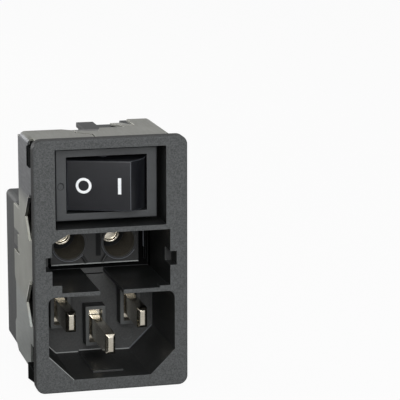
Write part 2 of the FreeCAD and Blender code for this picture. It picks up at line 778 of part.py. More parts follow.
def cut_shield_top(body):
    outer = "(coreWide / 2 + sheetThick + " + OVERCUT + ")"
    beyond = "shieldLowerRear + " + OVERCUT
    opening = [
        ("-" + outer, "shieldTopRear"),
        ("-(seamSide + seamStep + seamFlare)", "shieldTopRear"),
        ("-(seamSide + seamStep)", "seamEnd"),
        ("-seamSide", "seamEnd - seamCurl"),
        ("seamSide", "seamEnd - seamCurl"),
        ("seamRight", "shieldTopRear"),
        ("tongueSide", "shieldTopRear"),
        ("tongueSide", beyond),
        ("-" + outer, beyond),
    ]
    floor = "coreTop - sheetThick"
    prism(body, "TopOpening", "XY", opening, floor, "coreTop + sheetThick + " + OVERCUT, cut=True)
    seam = [
        ("-seamSide", "shieldFront - " + OVERCUT),
        ("-seamSide", "seamJog"),
        ("-(seamSide + seamStep)", "seamJog + seamStep"),
        ("-(seamSide + seamStep)", "seamEnd"),
        ("-(seamSide + seamStep + seamGap)", "seamEnd + seamGap"),
        ("-(seamSide + seamStep + seamGap)", "seamJog + seamStep - seamGap"),
        ("-(seamSide + seamGap)", "seamJog - seamGap"),
        ("-(seamSide + seamGap)", "shieldFront - " + OVERCUT),
    ]
    prism(body, "Seam", "XY", seam, floor, "coreTop + sheetThick + " + OVERCUT, cut=True)


# Low and high x of a span that lies from inner to outer on one side.
def side_range(sign, inner, outer):
    if sign == "-":
        return "-(" + outer + ")", "-(" + inner + ")"
    return inner, outer


def cut_shield_side(body, side, sign):
    low_x, high_x = side_range(sign, "coreWide / 2 - " + OVERCUT, "coreWide / 2 + sheetThick + " + OVERCUT)
    rear = "shieldLowerRear + " + OVERCUT
    notch = [
        ("shieldLowerRear - notchDeep", "-notchTop"),
        (rear, "-notchTop + notchDeep"),
        (rear, "-notchLow - notchDeep"),
        ("shieldLowerRear - notchDeep", "-notchLow"),
    ]
    prism(body, side + "Notch", "YZ", notch, low_x, high_x, cut=True)
    for name, low_z, high_z in (
        ("UpperSlit", "strapHigh", "strapHigh + slitWide"),
        ("LowerSlit", "-(strapLow + slitWide)", "-strapLow"),
    ):
        outline = box_outline("slitRoot", rear, low_z, high_z)
        prism(body, side + name, "YZ", outline, low_x, high_x, cut=True)
    step = box_outline("strapRoot", rear, "-(strapLow + slitWide)", "strapHigh + slitWide")
    prism(body, side + "StrapStep", "YZ", step, low_x, high_x, cut=True)
    strap_low, strap_high = side_range(sign, "coreWide / 2 - strapSink", "coreWide / 2")
    block(body, side + "Strap", strap_low, strap_high, "strapRoot - sheetThick", "strapRear",
          "-strapLow", "strapHigh")
    for spring, height in SPRING_HEIGHTS:
        window = [
            ("shieldFront - " + OVERCUT, height + " - springTall / 2 - springGap"),
            ("springShoulder", height + " - springTall / 2 - springGap"),
            ("springTip", height + " - springRoot"),
            ("springTip", height + " + springRoot"),
            ("springShoulder", height + " + springTall / 2 + springGap"),
            ("shieldFront - " + OVERCUT, height + " + springTall / 2 + springGap"),
        ]
        prism(body, side + spring + "Window", "YZ", window, low_x, high_x, cut=True)
    bend_x = side_range(sign, "coreWide / 2 - sheetThick", "coreWide / 2 + sheetThick + " + OVERCUT)
    block(body, side + "HookWindow", bend_x[0], bend_x[1], "hookFront", "hookRear",
          "hookWindowLow", "coreTop + sheetThick + " + OVERCUT, cut=True)
    foot_x = side_range(sign, "coreWide / 2 - footWide - footGap",
                        "coreWide / 2 + sheetThick + " + OVERCUT)
    block(body, side + "FootWindow", foot_x[0], foot_x[1], "shieldFront - " + OVERCUT, "hookRear",
          "-(coreBottom + sheetThick + " + OVERCUT + ")", "-footWindowTop", cut=True)


# Arrow-shaped snap springs, each folded along its middle and flared towards the flange.
def add_springs(body, side, sign):
    for spring, height in SPRING_HEIGHTS:
        for fold, way in (("High", 1), ("Low", -1)):
            turn = -1 if sign == "-" else 1
            name = side + spring + fold
            sketch = body.newObject("Sketcher::SketchObject", name + "Sketch")
            plane = [item for item in body.Origin.OriginFeatures if item.Role == "YZ_Plane"][0]
            sketch.AttachmentSupport = (plane, [""])
            sketch.MapMode = "FlatFace"
            flare = FreeCAD.Rotation(FreeCAD.Vector(0, 1, 0), turn * size_of("springFlare"))
            crease = FreeCAD.Rotation(FreeCAD.Vector(1, 0, 0), -turn * way * size_of("springCrease"))
            sketch.AttachmentOffset = FreeCAD.Placement(FreeCAD.Vector(), flare * crease)
            sketch.setExpression("AttachmentOffset.Base.x", cells("springTip + springGap"))
            sketch.setExpression("AttachmentOffset.Base.y", cells(height))
            skin = "(coreWide / 2 + sheetThick + springRoot * tan(springCrease))"
            sketch.setExpression("AttachmentOffset.Base.z", cells(sign + skin))
            up = "" if way > 0 else "-"
            outline = [
                ("0", "0"),
                ("-(springTip + springGap - springEnd - springVee)", "0"),
                ("-(springTip + springGap - springEnd)", up + "springTall / 2"),
                ("-(springTip + springGap - springShoulder)", up + "springTall / 2"),
                ("-springGap", up + "springRoot"),
                ("0", up + "springRoot"),
            ]
            draw_outline(sketch, outline)
            pad = body.newObject("PartDesign::Pad", name)
            pad.Profile = sketch
            pad.setExpression("Length", cells("sheetThick"))
            pad.Reversed = sign != "-"


# Finger that leaves the top plate and slopes down until it rests on the column's lid.
def add_lid_finger(body):
    root = "(coreDeep + fitGap)"
    block(body, "FingerRoot", "fingerSide - fingerWide / 2", "fingerSide + fingerWide / 2",
          "shieldTopRear - sheetThick", root, "coreTop", "coreTop + sheetThick")
    drop = size_of("coreTop") - size_of("columnTop") - size_of("lidThick")
    run = size_of("fingerTip") - size_of("coreDeep") - size_of("fitGap")
    sketch = body.newObject("Sketcher::SketchObject", "FingerSketch")
    plane = [item for item in body.Origin.OriginFeatures if item.Role == "XY_Plane"][0]
    sketch.AttachmentSupport = (plane, [""])
    sketch.MapMode = "FlatFace"
    tilt = FreeCAD.Rotation(FreeCAD.Vector(1, 0, 0), -math.degrees(math.atan2(drop, run)))
    sketch.AttachmentOffset = FreeCAD.Placement(FreeCAD.Vector(), tilt)
    sketch.setExpression("AttachmentOffset.Base.y", cells(root))
    sketch.setExpression("AttachmentOffset.Base.z", cells("coreTop"))
    long = "(fingerTip - " + root + ")"
    outline = [
        ("fingerSide - fingerWide / 2", "-sheetThick"),
        ("fingerSide + fingerWide / 2", "-sheetThick"),
        ("fingerSide + fingerWide / 2 - fingerLean", long),
        ("fingerSide - fingerWide / 2 - fingerLean + sheetThick", long),
    ]
    draw_outline(sketch, outline)
    pad = body.newObject("PartDesign::Pad", "Finger")
    pad.Profile = sketch
    pad.setExpression("Length", cells("sheetThick"))


def make_filter_case():
    body = new_body("filter_case")
    side = "caseWide / 2"
    low = "-coreBottom"
    deepest = "-(coreBottom + sheetThick)"
    neck = [
        (side, "caseTop"),
        ("-" + side, "caseTop"),
        ("-" + side, low + " + coreLean"),
        ("-" + side + " + coreCut", low),
        (side + " - coreCut", low),
        (side, low + " + coreLean"),
    ]
    block(body, "Rear", "-" + side, side, "shieldLowerRear", "caseRear", deepest, "caseTop")
    dress(body, "RearRounds", "Fillet", "caseRound",
          lambda edge, bounds: not lies_at(edge, "y", bounds.YMin))
    prism(body, "Neck", "XZ", neck, "coreDeep", "shieldLowerRear + caseRound")
    column = [
        ("columnSide", "coreDeep"),
        (side, "coreDeep"),
        (side, "columnRear - columnRound"),
        (side + " - columnRound", "columnRear"),
        ("columnSide + columnRound", "columnRear"),
        ("columnSide", "columnRear - columnRound"),
    ]
    prism(body, "Column", "XY", column, "caseTop - caseWall", "columnTop")
    inner = "(caseWide / 2 - caseWall)"
    block(body, "FilterRoom", "-" + inner, inner, "coreDeep", "caseRear - caseWall",
          low + " + caseWall", "caseTop - caseWall", cut=True)
    block(body, "SwitchRoom", "columnSide", inner, "coreDeep", "windowRear",
          "windowLow", "windowTop", cut=True)
    block(body, "Duct", "columnSide + caseWall", inner, "windowRear + caseWall", "columnRear - caseWall",
          "caseTop - caseWall - " + OVERCUT, "windowTop", cut=True)
    half = "(channelWide / 2)"
    block(body, "ChannelWalls", "-(" + half + " + caseWall)", half + " + caseWall",
          "channelFront - caseWall", "caseRear - caseWall",
          deepest, low + " + channelTall + caseWall")
    block(body, "Channel", "-" + half, half, "channelFront", "caseRear",
          deepest, low + " + channelTall", cut=True)
    roof = -size_of("coreBottom") + size_of("channelTall")
    dress(body, "ChannelRounds", "Fillet", "channelRound",
          lambda edge, bounds: runs_along(edge, "y") and lies_at(edge, "z", roof))
    block(body, "EarthSlot", "-tabWide / 2", "tabWide / 2", "channelFront - caseWall", "channelFront",
          "-earthTabDrop - tabThick / 2", "-earthTabDrop + tabThick / 2", cut=True)
    for edge, sign in (("Left", "-"), ("Right", "")):
        low_x, high_x = side_range(sign, "coreWide / 2 - strapSink - strapGap", "caseWide / 2 + " + OVERCUT)
        block(body, edge + "StrapGroove", low_x, high_x, "strapRoot - sheetThick - strapGap",
              "strapRear + strapGap", "-(strapLow + strapGap)", "strapHigh + strapGap", cut=True)
    return body


def make_column_lid():
    body = new_body("column_lid")
    rear = "columnRear + lidProud"
    block(body, "Plate", "columnSide - lidProud", "caseWide / 2", "lidFront", rear,
          "columnTop", "columnTop + lidThick")
    block(body, "Skirt", "caseWide / 2", "caseWide / 2 + lidSkirtThick", "lidSkirtFront", rear,
          "columnTop - lidSkirt", "columnTop + lidThick")
    block(body, "Notch", "lidNotchLeft", "lidNotchLeft + lidNotchWide", "columnRear - lidNotchDeep", rear,
          "columnTop", "columnTop + lidThick", cut=True)
    return body


def make_filter_board():
    body = new_body("filter_board")
    side = "(caseWide / 2 - caseWall - boardGap)"
    rear = "boardFront + boardThick"
    block(body, "Board", "-" + side, side, "boardFront", rear, "-boardLow", "caseTop - caseWall - boardGap")
    for pin, middle, drop, top in PIN_PLACES:
        block(body, pin + "Hole", middle + " - tailThick / 2", middle + " + tailThick / 2",
              "boardFront", rear, "-" + drop + " - tailWide / 2", "-" + drop + " + tailWide / 2", cut=True)
    for side_name, sign in (("Left", "-"), ("Right", "")):
        middle = sign + "borePitch / 2"
        block(body, side_name + "CupHole", middle + " - tailThick / 2", middle + " + tailThick / 2",
              "boardFront", rear, "boreHigh - tailWide / 2", "boreHigh + tailWide / 2", cut=True)
        block(body, side_name + "LeafHole", middle + " - leafWide / 2", middle + " + leafWide / 2",
              "boardFront", rear, "boreHigh + boreRadius", "boreHigh + boreRadius + leafThick", cut=True)
    return body


# Round bar round the choke's middle, whole or only a sector of it.
def barrel(label, radius, half_height, sweep=None, start=0):
    cylinder = doc.addObject("Part::Cylinder", label)
    cylinder.setExpression("Radius", cells(radius))
    cylinder.setExpression("Height", cells("2 * (" + half_height + ")"))
    if sweep:
        cylinder.setExpression("Angle", cells(sweep))
    upright = FreeCAD.Rotation(FreeCAD.Vector(1, 0, 0), 90)
    turned = FreeCAD.Rotation(FreeCAD.Vector(0, 0, 1), start)
    cylinder.Placement = FreeCAD.Placement(FreeCAD.Vector(), upright * turned)
    cylinder.setExpression("Placement.Base.x", cells("chokeSide"))
    middle = BOARD_REAR + " + chokeTube + windingThick + fitGap"
    cylinder.setExpression("Placement.Base.y", cells(middle + " + " + half_height))
    cylinder.setExpression("Placement.Base.z", cells("-chokeDrop"))
    return cylinder


def take_away(label, base, tool):
    cut = doc.addObject("Part::Cut", label)
    cut.Base = base
    cut.Tool = tool
    return cut


def choke_ring(label, gap="0"):
    outer = barrel(label + "_outer", "chokeRadius + chokeTube + " + gap, "chokeTube + " + gap)
    inner = barrel(label + "_inner", "chokeRadius - chokeTube - " + gap, "chokeTube + " + OVERCUT)
    return take_away(label, outer, inner)


def make_choke():
    core = choke_ring("choke_core")
    core.Label = "choke_core"
    made = [core]
    for label, start in (("choke_winding_line", 0), ("choke_winding_neutral", 180)):
        outer = barrel(label + "_outer", "chokeRadius + chokeTube + windingThick",
                       "chokeTube + windingThick", "windingAngle", start)
        inner = barrel(label + "_inner", "chokeRadius - chokeTube - windingThick",
                       "chokeTube + windingThick + " + OVERCUT)
        sleeve = take_away(label + "_sleeve", outer, inner)
        winding = take_away(label, sleeve, choke_ring(label + "_core", "windingGap"))
        winding.Label = label
        made.append(winding)
    return made


def make_film_capacitor():
    body = new_body("x_capacitor")
    block(body, "Can", "chokeSide - filmWide / 2", "chokeSide + filmWide / 2", BOARD_REAR,
          BOARD_REAR + " + filmDeep", "filmLow", "filmLow + filmTall")
    dress(body, "CanEdges", "Fillet", "filmEdge", lambda edge, bounds: runs_along(edge, "y"))
    return body


def make_disc_capacitor(label, drop):
    body = new_body(label)
    disc(body, "Disc", "YZ", (BOARD_REAR + " + discRadius", "-" + drop), "discRadius",
         "discSide - discThick / 2", "discSide + discThick / 2")
    return body


def make_resistor():
    body = new_body("bleed_resistor")
    disc(body, "Barrel", "XY", ("resistorSide", BOARD_REAR + " + resistorRadius"), "resistorRadius",
         "resistorRise - resistorLong / 2", "resistorRise + resistorLong / 2")
    return body


def make_earth_tab():
    body = new_body("earth_tab")
    low = "-earthTabDrop - tabThick / 2"
    high = "-earthTabDrop + tabThick / 2"
    half = "(tabWide / 2)"
    outline = [
        ("-" + half, "earthTabFront"),
        (half, "earthTabFront"),
        (half, "earthTabRear - tabTaper"),
        (half + " - tabTaper", "earthTabRear"),
        ("-" + half + " + tabTaper", "earthTabRear"),
        ("-" + half, "earthTabRear - tabTaper"),
    ]
    prism(body, "Tab", "XY", outline, low, high)
    disc(body, "TabHole", "XY", ("0", "earthTabRear - tabHoleBack"), "tabHole", low, high, cut=True)
    block(body, "Leg", "-stemWide / 2", "stemWide / 2", "earthTabFront - tabThick", "earthTabFront",
          low, "-earthPinDrop + tailWide")
    block(body, "LegHole", "-tailThick / 2", "tailThick / 2", "earthTabFront - tabThick", "earthTabFront",
          "-earthPinDrop - tailWide / 2", "-earthPinDrop + tailWide / 2", cut=True)
    return body


def make_label():
    body = new_body("label")
    block(body, "Sheet", "labelLeft", "labelLeft + labelWide", "caseRear", "caseRear + labelThick",
          "labelTop - labelTall", "labelTop")
    dress(body, "SheetCorners", "Fillet", "labelRound", lambda edge, bounds: runs_along(edge, "y"))
    return body


pieces = [
    make_front_housing(),
    make_shield(),
    make_filter_case(),
    make_column_lid(),
    make_switch_frame(),
    make_switch_base(),
    make_rocker(),
    make_plunger("plunger_line", "+"),
    make_plunger("plunger_neutral", "-"),
    make_blade("contact_blade_line", "+"),
    make_blade("contact_blade_neutral", "-"),
    make_cradle("blade_cradle_line", "+"),
    make_cradle("blade_cradle_neutral", "-"),
    make_load_tab("load_tab_line", "+"),
    make_load_tab("load_tab_neutral", "-"),
    make_pin("line_pin", "-pinPitch / 2", "livePinDrop", "livePinFront"),
    make_pin("neutral_pin", "pinPitch / 2", "livePinDrop", "livePinFront"),
    make_pin("earth_pin", "0", "earthPinDrop", "earthPinFront"),
    make_fuse_cup("fuse_cup_line", "-borePitch / 2"),
    make_fuse_cup("fuse_cup_neutral", "borePitch / 2"),
    make_fuse_leaf("fuse_leaf_line", "-borePitch / 2"),
    make_fuse_leaf("fuse_leaf_neutral", "borePitch / 2"),
    make_earth_tab(),
    make_filter_board(),
    make_film_capacitor(),
    make_disc_capacitor("y_capacitor_line", "discUpper"),
    make_disc_capacitor("y_capacitor_neutral", "discLower"),
    make_resistor(),
    make_label(),
]
pieces += make_choke()

doc.recompute()
for item in doc.Objects:
    if "Invalid" in item.State or "Error" in item.State:
        raise RuntimeError(item.Name + " did not recompute")

os.makedirs("parts", exist_ok=True)
for piece in pieces:
    shape = piece.Shape
    if shape.isNull() or not shape.isValid() or not shape.Solids:
        raise RuntimeError(piece.Label + " is not a sound solid")
    shape.exportStep("parts/" + piece.Label + ".step")
    print(piece.Label, len(shape.Solids), round(shape.Volume, 2))
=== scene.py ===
import math

import bmesh
import bpy
from mathutils import Matrix, Vector


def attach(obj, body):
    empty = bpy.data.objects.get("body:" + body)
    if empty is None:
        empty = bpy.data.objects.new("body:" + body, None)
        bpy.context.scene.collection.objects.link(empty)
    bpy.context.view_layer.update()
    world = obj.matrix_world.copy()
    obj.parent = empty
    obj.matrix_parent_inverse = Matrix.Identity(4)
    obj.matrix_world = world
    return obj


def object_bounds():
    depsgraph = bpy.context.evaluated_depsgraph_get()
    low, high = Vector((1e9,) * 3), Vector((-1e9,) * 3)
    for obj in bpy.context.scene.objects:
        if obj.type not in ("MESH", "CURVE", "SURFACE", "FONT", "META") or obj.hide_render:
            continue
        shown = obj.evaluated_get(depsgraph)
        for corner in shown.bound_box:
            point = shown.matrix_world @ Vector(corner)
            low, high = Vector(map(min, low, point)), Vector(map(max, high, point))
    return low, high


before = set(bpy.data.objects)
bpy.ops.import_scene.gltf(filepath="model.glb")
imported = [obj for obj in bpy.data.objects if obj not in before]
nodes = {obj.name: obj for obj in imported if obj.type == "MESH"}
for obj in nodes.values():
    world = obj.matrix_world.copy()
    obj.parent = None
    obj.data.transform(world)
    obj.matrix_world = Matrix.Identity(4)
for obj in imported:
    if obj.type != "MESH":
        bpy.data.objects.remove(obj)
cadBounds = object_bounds()
mm = 0.001  # the frame is in metres, real sizes below are in millimetres


# Shared by every material: colours, nodes, masks and patterns.
def linearColour(hexText):
    channels = []
    for start in (1, 3, 5):
        value = int(hexText[start:start + 2], 16) / 255
        channels.append(value / 12.92 if value <= 0.04045 else ((value + 0.055) / 1.055) ** 2.4)
    return (*channels, 1.0)


# Inputs are given by name or number in a dictionary, or in the order of the node's sockets.
def addNode(tree, kind, inputs=(), **settings):
    node = tree.nodes.new("ShaderNode" + kind)
    for name, value in settings.items():
        setattr(node, name, value)
    for name, value in inputs.items() if isinstance(inputs, dict) else enumerate(inputs):
        if isinstance(value, bpy.types.NodeSocket):
            tree.links.new(value, node.inputs[name])
        else:
            node.inputs[name].default_value = value
    return node


# A metal's look names no IOR, so that it keeps the shader's own.
def newSurface(name, look, metallic):
    material = bpy.data.materials.new(name)
    material.use_nodes = True
    tree = material.node_tree
    tree.nodes.clear()
    shader = addNode(tree, "BsdfPrincipled", {"Metallic": metallic})
    if "ior" in look:
        shader.inputs["IOR"].default_value = look["ior"]
    addNode(tree, "OutputMaterial", {"Surface": shader.outputs[0]})
    place = addNode(tree, "TexCoord").outputs["Object"]
    tones = {part: linearColour(value) for part, value in look.items() if isinstance(value, str)}
    return material, shader, place, tones


# Lays each tone over the colour where its mask is 1.
def layTones(tree, colour, *layers):
    for mask, tone in layers:
        colour = addNode(tree, "Mix", {0: mask, 6: colour, 7: tone}, data_type="RGBA").outputs[2]
    return colour


# A mask that is 1 only where all the others are.
def overlap(tree, *masks):
    result = masks[0]
    for mask in masks[1:]:
        result = addNode(tree, "Math", (result, mask), operation="MULTIPLY").outputs[0]
    return result


# A mask that is 1 inside the boxes, each given by two corners, with a border of twice the soft width.
def insideBoxes(tree, place, boxes, soft=0.05):
    split = addNode(tree, "SeparateXYZ", (place,)).outputs
    result = 0.0
    for low, high in boxes:
        sides = []
        for axis, start, end in zip("XYZ", low, high):
            for outer, inner in ((start - soft, start + soft), (end + soft, end - soft)):
                sides.append(addNode(tree, "MapRange", (split[axis], outer * mm, inner * mm)).outputs[0])
        result = addNode(tree, "Math", (result, overlap(tree, *sides)), operation="MAXIMUM").outputs[0]
    return result


# The noise behind each pattern, and the values over which it turns from one tone to the other.
patterns = {
    "grain": ({"Detail": 3.0, "Roughness": 0.65}, (0.34, 0.66)),
    "cloud": ({"Detail": 2.0}, (0.35, 0.65)),
    "pit": ({"Detail": 2.0, "Roughness": 0.7}, (0.36, 0.64)),
    "line": ({"Detail": 4.0, "Roughness": 0.6}, (0.3, 0.7)),
    "stain": ({"Detail": 3.0, "Roughness": 0.55}, (0.35, 0.68)),
}
wearSpan = (0.3, 0.7)  # noise values over which the roughness and the wear change
thinWear = 0.35  # share of the wear that is left where it is thinnest
edgeCosines = (0.995, 0.86)  # from the flat to the edge, between the face's normal and the rounded one


# The size in the look is that of one feature. Real grain and rolling lines are finer than 0.1 mm: they are
# drawn two to five times as coarse, so that they show.
def drawPattern(tree, place, look, name):
    settings, span = patterns[name]
    noise = addNode(tree, "TexNoise", {
        "Vector": place, "Scale": 1 / (look[name + "Size"] * mm), **settings}).outputs["Fac"]
    return noise, addNode(tree, "MapRange", (noise, *span)).outputs[0]


# Every surface ends with rounded edges that catch light, a paler worn line along them and a fine relief.
def finishSurface(tree, shader, look, tones, colour, rough, height, patches):
    rounded = addNode(tree, "Bevel", {"Radius": look["edge"] * mm}, samples=4).outputs[0]
    facing = addNode(tree, "NewGeometry").outputs["Normal"]
    agree = addNode(tree, "VectorMath", (rounded, facing), operation="DOT_PRODUCT").outputs["Value"]
    edge = addNode(tree, "MapRange", (agree, *edgeCosines, 0.0, look["rub"])).outputs[0]
    patchy = addNode(tree, "MapRange", (patches, *wearSpan, thinWear, 1.0)).outputs[0]
    worn = layTones(tree, colour, (overlap(tree, edge, patchy), tones["rubbed"]))
    relief = addNode(tree, "Bump", {
        "Strength": look["bump"], "Distance": look["deep"] * mm, "Height": height, "Normal": rounded})
    for socket, value in (("Base Color", worn), ("Roughness", rough), ("Normal", relief.outputs[0])):
        tree.links.new(value, shader.inputs[socket])


# Moulded plastics. Parts of the housing have a look of their own: these boxes, in millimetres, hold them.
housingZones = {
    "bores": [((-8.15, 14.2, -2.45), (8.15, 30.0, 6.0))],
    "boreEnds": [((-8.15, 15.0, -2.45), (8.15, 30.0, 6.0))],
    "upperPlates": [((-12.5, 14.7, -4.85), (12.5, 30.0, 8.0))],
    "gaps": [((-12.5, 14.7, -4.85), (12.5, 30.0, -3.05)), ((8.95, 14.7, -4.85), (12.5, 30.0, 8.0)),
             ((-12.5, 13.9, -4.85), (-8.6, 15.3, 8.0))],
    "bossFaces": [((-12.5, 13.0, -21.5), (12.5, 13.6, -5.7))],
    "grooves": [((0.4, 14.4, -2.0), (1.4, 14.65, 6.0))],
    "rims": [((-16.0, -2.2, -26.0), (-12.9, 0.1, 26.0)), ((12.9, -2.2, -26.0), (16.0, 0.1, 26.0)),
             ((-16.0, -2.2, 23.6), (16.0, 0.1, 26.0)), ((-16.0, -2.2, -26.0), (16.0, 0.1, -23.6))],
    "hooks": [((-16.0, 0.1, -26.0), (-12.9, 16.0, 26.0)), ((12.9, 0.1, -26.0), (16.0, 16.0, 26.0))],
}


# The housing's rim, hooks, gaps and bore ends have a dead matt skin.
def housingGloss(tree, place, look):
    gloss = look["gloss"]
    for zone, matt in look["mattZones"].items():
        inside = insideBoxes(tree, place, housingZones[zone])
        gloss = addNode(tree, "Mix", {0: inside, 2: gloss, 3: matt}, data_type="FLOAT").outputs[0]
    return gloss


# Painted light and shade in the cavities: the deep plates are paler than the drawn walls, the bores are
# warmer and the gaps black.
def paintedCavityLightAndShade(tree, place, look, tones, walls, grainMask):
    normal = addNode(tree, "NewGeometry").outputs["Normal"]
    depth = addNode(tree, "SeparateXYZ", (place,)).outputs["Y"]
    forward = addNode(tree, "SeparateXYZ", (normal,)).outputs["Y"]
    plate = addNode(tree, "MapRange", (forward, *look["plateTurn"])).outputs[0]
    curved = addNode(tree, "MapRange", (plate, *look["boreTurn"])).outputs[0]
    deep = addNode(tree, "MapRange", (
        depth, look["plateNear"] * mm, look["plateFar"] * mm, look["plateShare"], 1.0)).outputs[0]
    # The upper plates keep the darker tone, as painted shade under the bay's roof.
    upper = insideBoxes(tree, place, housingZones["upperPlates"])
    lower = addNode(tree, "Math", (1.0, upper), operation="SUBTRACT").outputs[0]
    bossFaces = insideBoxes(tree, place, housingZones["bossFaces"])
    bores = insideBoxes(tree, place, housingZones["bores"])
    grooves = insideBoxes(tree, place, housingZones["grooves"], look["grooveSoft"])
    gaps = insideBoxes(tree, place, housingZones["gaps"])
    paintedLitPlateTone = layTones(tree, tones["paintedLitPlateDark"], (grainMask, tones["paintedLitPlateLight"]))
    paintedLitBoreTone = layTones(tree, tones["paintedLitBoreDark"], (grainMask, tones["paintedLitBoreLight"]))
    return layTones(
        tree, walls, (overlap(tree, plate, deep, lower), paintedLitPlateTone),
        (overlap(tree, plate, bossFaces), tones["paintedLitBossTone"]), (overlap(tree, bores, curved), paintedLitBoreTone),
        (grooves, tones["paintedShadeTone"]), (gaps, tones["paintedShadeTone"]))


# The flange's front has the tone, roughness and pits of a spark-eroded mould.
def sparkedFace(tree, place, look, tones, colour, rough, height):
    depth = addNode(tree, "SeparateXYZ", (place,)).outputs["Y"]
    front = addNode(tree, "Math", (depth, look["faceDepth"] * mm), operation="LESS_THAN").outputs[0]
    pits, pitMask = drawPattern(tree, place, look, "pit")
    face = layTones(tree, tones["faceDark"], (pitMask, tones["faceLight"]))
    rough, height = (addNode(tree, "Mix", {0: front, 2: inner, 3: outer}, data_type="FLOAT").outputs[0]
                     for inner, outer in ((rough, look["faceRough"]), (height, pits)))
    return layTones(tree, colour, (front, face)), rough, height


def mouldedPlastic(name, look):
    material, shader, place, tones = newSurface(name, look, metallic=0.0)
    tree = material.node_tree
    shader.inputs["Specular IOR Level"].default_value = look["gloss"]
    grain, grainMask = drawPattern(tree, place, look, "grain")
    cloudMask = drawPattern(tree, place, look, "cloud")[1]
    clouded = layTones(tree, tones["cloudDark"], (cloudMask, tones["cloudLight"]))
    colour = layTones(tree, tones["dark"], (grainMask, tones["light"]), (look["cloudShare"], clouded))
    rough = addNode(tree, "MapRange", (grain, *wearSpan, look["smoothest"], look["roughest"])).outputs[0]
    height = grain
    if "mattZones" in look:
        colour = paintedCavityLightAndShade(tree, place, look, tones, colour, grainMask)
        colour, rough, height = sparkedFace(tree, place, look, tones, colour, rough, height)
        tree.links.new(housingGloss(tree, place, look), shader.inputs["Specular IOR Level"])
    finishSurface(tree, shader, look, tones, colour, rough, height, grain)
    return material


# A face counts as a plate by the y part of its normal, from one value of plateTurn to the other, and as a
# bore's wall by how little of a plate it is. Sizes and depths are in millimetres.
housingLook = {
    "ior": 1.53, "gloss": 0.35,
    "mattZones": {"rims": 0.03, "hooks": 0.0, "gaps": 0.0, "grooves": 0.08, "boreEnds": 0.08},
    # Away from the flange's front the near-black tone is painted shade of the cavities.
    "dark": "#161717", "light": "#1d1e1e", "grainSize": 0.35, "deep": 0.02, "bump": 0.35,
    "cloudDark": "#151616", "cloudLight": "#202121", "cloudSize": 5.0, "cloudShare": 0.4,
    "smoothest": 0.38, "roughest": 0.5, "edge": 0.14, "rub": 0.55, "rubbed": "#6d7173",
    "faceDark": "#343636", "faceLight": "#505253", "pitSize": 0.24, "faceRough": 0.62, "faceDepth": -2.3,
    # Painted light and shade: the plates, bore walls and boss faces are paler than the walls, the gaps and
    # grooves black.
    "paintedLitPlateDark": "#323333", "paintedLitPlateLight": "#3e3f3f", "plateTurn": (-0.6, -0.9),
    "plateNear": 14.6, "plateFar": 16.2, "plateShare": 0.12,
    "paintedLitBoreDark": "#4a473f", "paintedLitBoreLight": "#5b574e", "boreTurn": (0.6, 0.2),
    "paintedLitBossTone": "#4c4e4e", "paintedShadeTone": "#0b0b0b", "grooveSoft": 0.25,
}
# Glass-filled polyamide, moulded: grey with a spark-eroded grain on the flange, smoother inside, where its
# darker tone is painted shade.
glassFilledPolyamide = mouldedPlastic("spark_grained_polyamide", housingLook)

caseLook = {
    "ior": 1.55, "gloss": 0.33,
    "dark": "#1a1d1e", "light": "#222526", "grainSize": 0.3, "deep": 0.015, "bump": 0.3,
    "cloudDark": "#191b1c", "cloudLight": "#252829", "cloudSize": 6.0, "cloudShare": 0.5,
    "smoothest": 0.58, "roughest": 0.7, "edge": 0.2, "rub": 0.4, "rubbed": "#4c5052",
}
# Polyester (PBT), moulded: blue-black satin with paler rounded edges.
mouldedPolyester = mouldedPlastic("moulded_black_polyester", caseLook)

bezelLook = {
    "ior": 1.53, "gloss": 0.5,
    "dark": "#2b2d2f", "light": "#373a3c", "grainSize": 0.26, "deep": 0.015, "bump": 0.3,
    "cloudDark": "#2b2d2f", "cloudLight": "#393c3e", "cloudSize": 4.0, "cloudShare": 0.4,
    "smoothest": 0.45, "roughest": 0.58, "edge": 0.14, "rub": 0.5, "rubbed": "#717577",
}
# Polyamide with a fine matt grain: the switch's bezel.
mattPolyamide = mouldedPlastic("fine_matte_polyamide", bezelLook)

rockerLook = {
    "ior": 1.52, "gloss": 0.34,
    "dark": "#121317", "light": "#17181c", "grainSize": 0.2, "deep": 0.006, "bump": 0.2,
    "cloudDark": "#111216", "cloudLight": "#191a1f", "cloudSize": 3.5, "cloudShare": 0.5,
    "smoothest": 0.34, "roughest": 0.42, "edge": 0.3, "rub": 0.9, "rubbed": "#858b93",
}
# Polycarbonate, moulded in a satin tool: a soft sheen with bright edges.
satinPolycarbonate = mouldedPlastic("satin_polycarbonate", rockerLook)

paintedLineLook = dict(caseLook, dark="#8b8e8d", light="#a2a5a4", cloudDark="#868988", cloudLight="#a6a9a8",
                rub=0.0, edge=0.02, smoothest=0.3, roughest=0.42)
# Glass-filled polyamide with a painted highlight: a pale line along edges and junctions.
paintedHighlightLine = mouldedPlastic("painted_highlight_line", paintedLineLook)

dimHighlightLook = dict(paintedLineLook, dark="#4f5257", light="#64686e", cloudDark="#4c4f54", cloudLight="#676b71")
# The same painted highlight, dimmer where less light falls, and on the rocker's raised edge: a thin grey
# line.
paintedDimHighlightLine = mouldedPlastic("painted_dim_highlight_line", dimHighlightLook)

shadowLineLook = dict(paintedLineLook, dark="#0b0b0b", light="#101010", cloudDark="#0a0a0a", cloudLight="#121212",
                  gloss=0.05)
# Polyamide in a shut groove with painted shadow: almost black and dead matt.
paintedShadowLine = mouldedPlastic("painted_shadow_line", shadowLineLook)
print("plastics ready")


